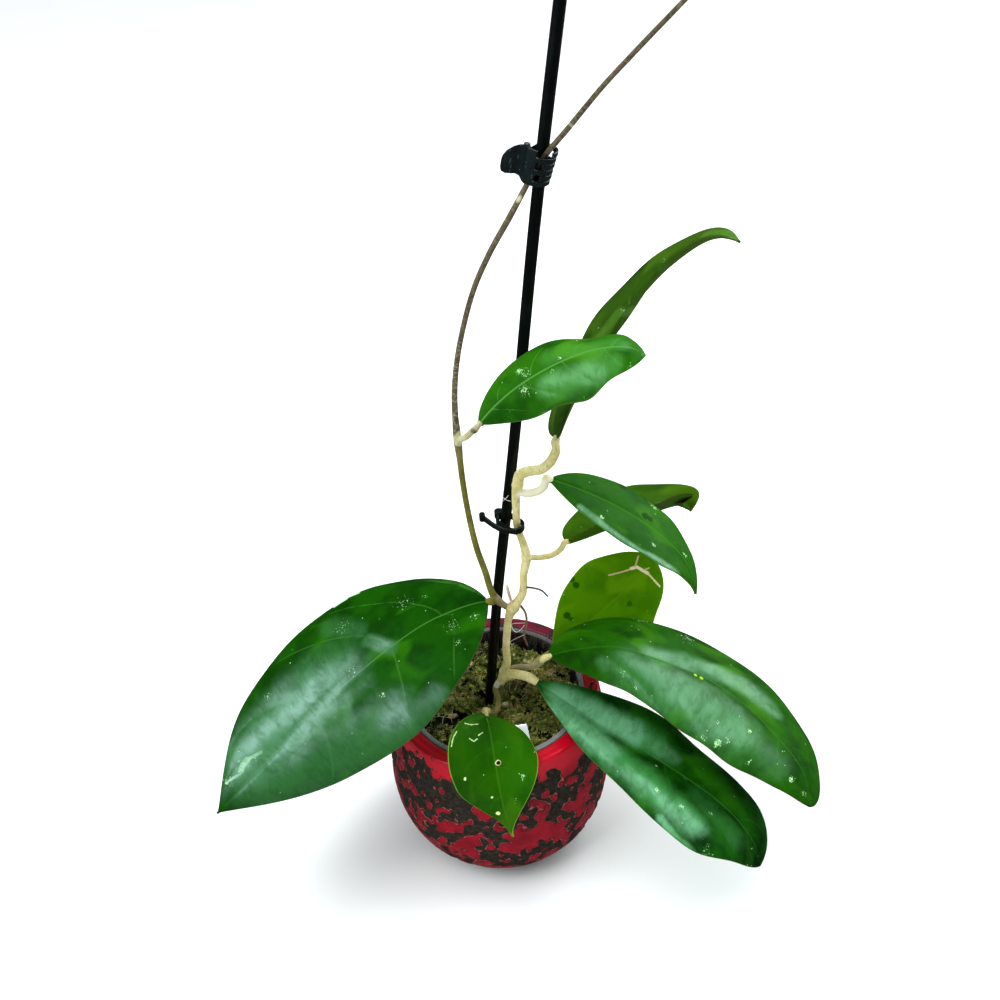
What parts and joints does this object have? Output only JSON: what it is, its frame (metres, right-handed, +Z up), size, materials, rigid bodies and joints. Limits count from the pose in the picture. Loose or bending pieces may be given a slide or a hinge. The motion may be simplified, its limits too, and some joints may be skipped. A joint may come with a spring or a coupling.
{
  "type": "potted hoya juannguoiana",
  "caption": "Climbing hoya with large glossy mint-flecked leaves on a black stake with two clips, in a small round red-glazed cachepot.",
  "frame": {"origin": "middle of the cachepot's flat foot, on the surface that it stands on", "axes": "+Z up the stake, -Y to the front that the picture shows, +X to the side of the long row of right-hand leaves"},
  "size_m": [0.2959, 0.1729, 0.4574],
  "materials": {
    "pot_glaze": "crackled red glaze in raised blobs over a matt dark body",
    "liner_plastic": "clear smoky plastic",
    "moss_mix": "rough moss with bark chips",
    "stake_plastic": "satin",
    "pale_stem": "dry speckled bark",
    "brown_stem": "dry mottled bark",
    "dark_leaf": "waxy gloss with pale flecks",
    "light_leaf": "waxy gloss with pale flecks",
    "matte_leaf": "matt",
    "clip_plastic": "satin",
    "label_plastic": "matt",
    "clip_steel": "plain wire"
  },
  "bodies": {
    "plant": {"cachepot": "pot_glaze", "liner_pot": "liner_plastic", "moss_and_bark_mix": "moss_mix", "stake": "stake_plastic", "main_stem": "pale_stem", "vine": "brown_stem", "leaf_large_left": "dark_leaf", "leaf_small_front": "dark_leaf", "leaf_lower_right": "dark_leaf", "leaf_upper_right": "dark_leaf", "leaf_upright_back": "matte_leaf", "leaf_middle_right": "dark_leaf", "leaf_rear_right": "dark_leaf", "leaf_upper_light": "light_leaf", "leaf_top_narrow": "dark_leaf", "ring_clip": "stake_plastic", "plant_label": "label_plastic", "claw_clip_front_jaw": "clip_plastic", "claw_clip_pin": "clip_steel", "claw_clip_spring": "clip_steel"},
    "rear_jaw": {"claw_clip_rear_jaw": "clip_plastic"}
  },
  "joints": [
    {"name": "claw_clip_hinge", "type": "hinge", "parent": "plant", "child": "rear_jaw", "pos_m": [0.02574, 0.01951, 0.3711], "axis": [0.1953, 0.011, 0.9807], "range_deg": [0, 35], "stiffness_Nm_per_rad": 0.0015}
  ]
}
